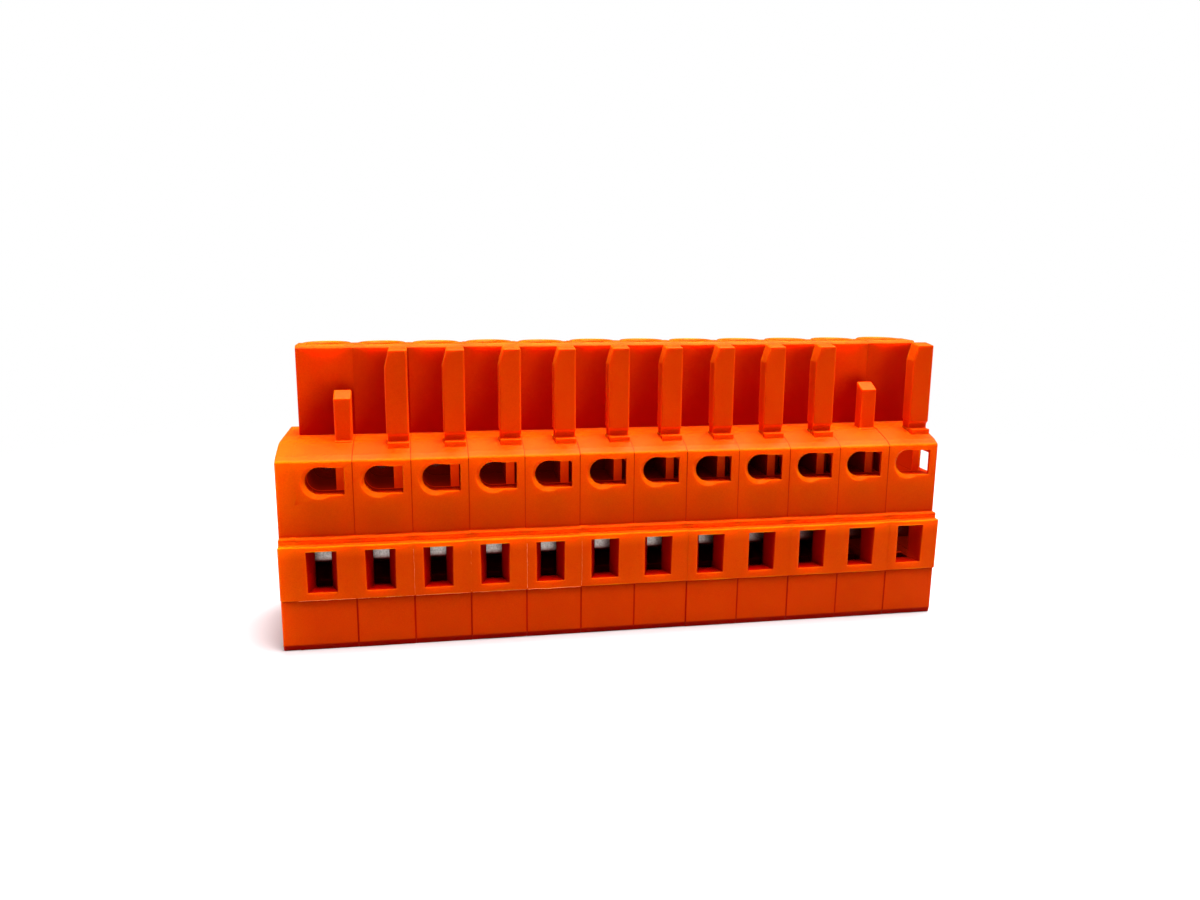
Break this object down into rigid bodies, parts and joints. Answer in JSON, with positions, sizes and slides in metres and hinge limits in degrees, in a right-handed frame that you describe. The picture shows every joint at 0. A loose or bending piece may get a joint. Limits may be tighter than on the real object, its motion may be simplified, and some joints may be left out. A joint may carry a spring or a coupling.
{
  "type": "pluggable terminal connector",
  "caption": "Row of single-pole orange housings with spring clamps, operating slots, test ports and coding fingers, ending in sockets that plug onto header pins.",
  "frame": {"origin": "centre of the box's bottom, on the wire side that the connector stands on", "axes": "+X along the row, with the end plate at -X; -Y towards the front with the slots and ports; +Z towards the mating side"},
  "size_m": [0.0624, 0.0142, 0.0268],
  "materials": {
    "orange_plastic": "satin moulded polyamide, slightly translucent",
    "tinned_contact": "tin-plated copper alloy",
    "spring_steel": "rolled spring strip"
  },
  "bodies": {
    "row": {"end_plate": "orange_plastic", "housing_01": "orange_plastic", "housing_02": "orange_plastic", "housing_03": "orange_plastic", "housing_04": "orange_plastic", "housing_05": "orange_plastic", "housing_06": "orange_plastic", "housing_07": "orange_plastic", "housing_08": "orange_plastic", "housing_09": "orange_plastic", "housing_10": "orange_plastic", "housing_11": "orange_plastic", "housing_12": "orange_plastic", "contact_01": "tinned_contact", "contact_02": "tinned_contact", "contact_03": "tinned_contact", "contact_04": "tinned_contact", "contact_05": "tinned_contact", "contact_06": "tinned_contact", "contact_07": "tinned_contact", "contact_08": "tinned_contact", "contact_09": "tinned_contact", "contact_10": "tinned_contact", "contact_11": "tinned_contact", "contact_12": "tinned_contact"},
    "clamp_01": {"clamp_spring_01": "spring_steel"},
    "clamp_02": {"clamp_spring_02": "spring_steel"},
    "clamp_03": {"clamp_spring_03": "spring_steel"},
    "clamp_04": {"clamp_spring_04": "spring_steel"},
    "clamp_05": {"clamp_spring_05": "spring_steel"},
    "clamp_06": {"clamp_spring_06": "spring_steel"},
    "clamp_07": {"clamp_spring_07": "spring_steel"},
    "clamp_08": {"clamp_spring_08": "spring_steel"},
    "clamp_09": {"clamp_spring_09": "spring_steel"},
    "clamp_10": {"clamp_spring_10": "spring_steel"},
    "clamp_11": {"clamp_spring_11": "spring_steel"},
    "clamp_12": {"clamp_spring_12": "spring_steel"}
  },
  "joints": [
    {"name": "clamp_01_open", "type": "hinge", "parent": "row", "child": "clamp_01", "pos_m": [-0.02719, -0.00112, 0.013], "axis": [1, 0, 0], "range_deg": [0, 18], "stiffness_Nm_per_rad": 0.4, "springref_deg": -5.73, "deforming": ["clamp_spring_01"]},
    {"name": "clamp_02_open", "type": "hinge", "parent": "row", "child": "clamp_02", "pos_m": [-0.02211, -0.00112, 0.013], "axis": [1, 0, 0], "range_deg": [0, 18], "stiffness_Nm_per_rad": 0.4, "springref_deg": -5.73, "deforming": ["clamp_spring_02"]},
    {"name": "clamp_03_open", "type": "hinge", "parent": "row", "child": "clamp_03", "pos_m": [-0.01703, -0.00112, 0.013], "axis": [1, 0, 0], "range_deg": [0, 18], "stiffness_Nm_per_rad": 0.4, "springref_deg": -5.73, "deforming": ["clamp_spring_03"]},
    {"name": "clamp_04_open", "type": "hinge", "parent": "row", "child": "clamp_04", "pos_m": [-0.01195, -0.00112, 0.013], "axis": [1, 0, 0], "range_deg": [0, 18], "stiffness_Nm_per_rad": 0.4, "springref_deg": -5.73, "deforming": ["clamp_spring_04"]},
    {"name": "clamp_05_open", "type": "hinge", "parent": "row", "child": "clamp_05", "pos_m": [-0.00687, -0.00112, 0.013], "axis": [1, 0, 0], "range_deg": [0, 18], "stiffness_Nm_per_rad": 0.4, "springref_deg": -5.73, "deforming": ["clamp_spring_05"]},
    {"name": "clamp_06_open", "type": "hinge", "parent": "row", "child": "clamp_06", "pos_m": [-0.00179, -0.00112, 0.013], "axis": [1, 0, 0], "range_deg": [0, 18], "stiffness_Nm_per_rad": 0.4, "springref_deg": -5.73, "deforming": ["clamp_spring_06"]},
    {"name": "clamp_07_open", "type": "hinge", "parent": "row", "child": "clamp_07", "pos_m": [0.00329, -0.00112, 0.013], "axis": [1, 0, 0], "range_deg": [0, 18], "stiffness_Nm_per_rad": 0.4, "springref_deg": -5.73, "deforming": ["clamp_spring_07"]},
    {"name": "clamp_08_open", "type": "hinge", "parent": "row", "child": "clamp_08", "pos_m": [0.00837, -0.00112, 0.013], "axis": [1, 0, 0], "range_deg": [0, 18], "stiffness_Nm_per_rad": 0.4, "springref_deg": -5.73, "deforming": ["clamp_spring_08"]},
    {"name": "clamp_09_open", "type": "hinge", "parent": "row", "child": "clamp_09", "pos_m": [0.01345, -0.00112, 0.013], "axis": [1, 0, 0], "range_deg": [0, 18], "stiffness_Nm_per_rad": 0.4, "springref_deg": -5.73, "deforming": ["clamp_spring_09"]},
    {"name": "clamp_10_open", "type": "hinge", "parent": "row", "child": "clamp_10", "pos_m": [0.01853, -0.00112, 0.013], "axis": [1, 0, 0], "range_deg": [0, 18], "stiffness_Nm_per_rad": 0.4, "springref_deg": -5.73, "deforming": ["clamp_spring_10"]},
    {"name": "clamp_11_open", "type": "hinge", "parent": "row", "child": "clamp_11", "pos_m": [0.02361, -0.00112, 0.013], "axis": [1, 0, 0], "range_deg": [0, 18], "stiffness_Nm_per_rad": 0.4, "springref_deg": -5.73, "deforming": ["clamp_spring_11"]},
    {"name": "clamp_12_open", "type": "hinge", "parent": "row", "child": "clamp_12", "pos_m": [0.02869, -0.00112, 0.013], "axis": [1, 0, 0], "range_deg": [0, 18], "stiffness_Nm_per_rad": 0.4, "springref_deg": -5.73, "deforming": ["clamp_spring_12"]}
  ]
}
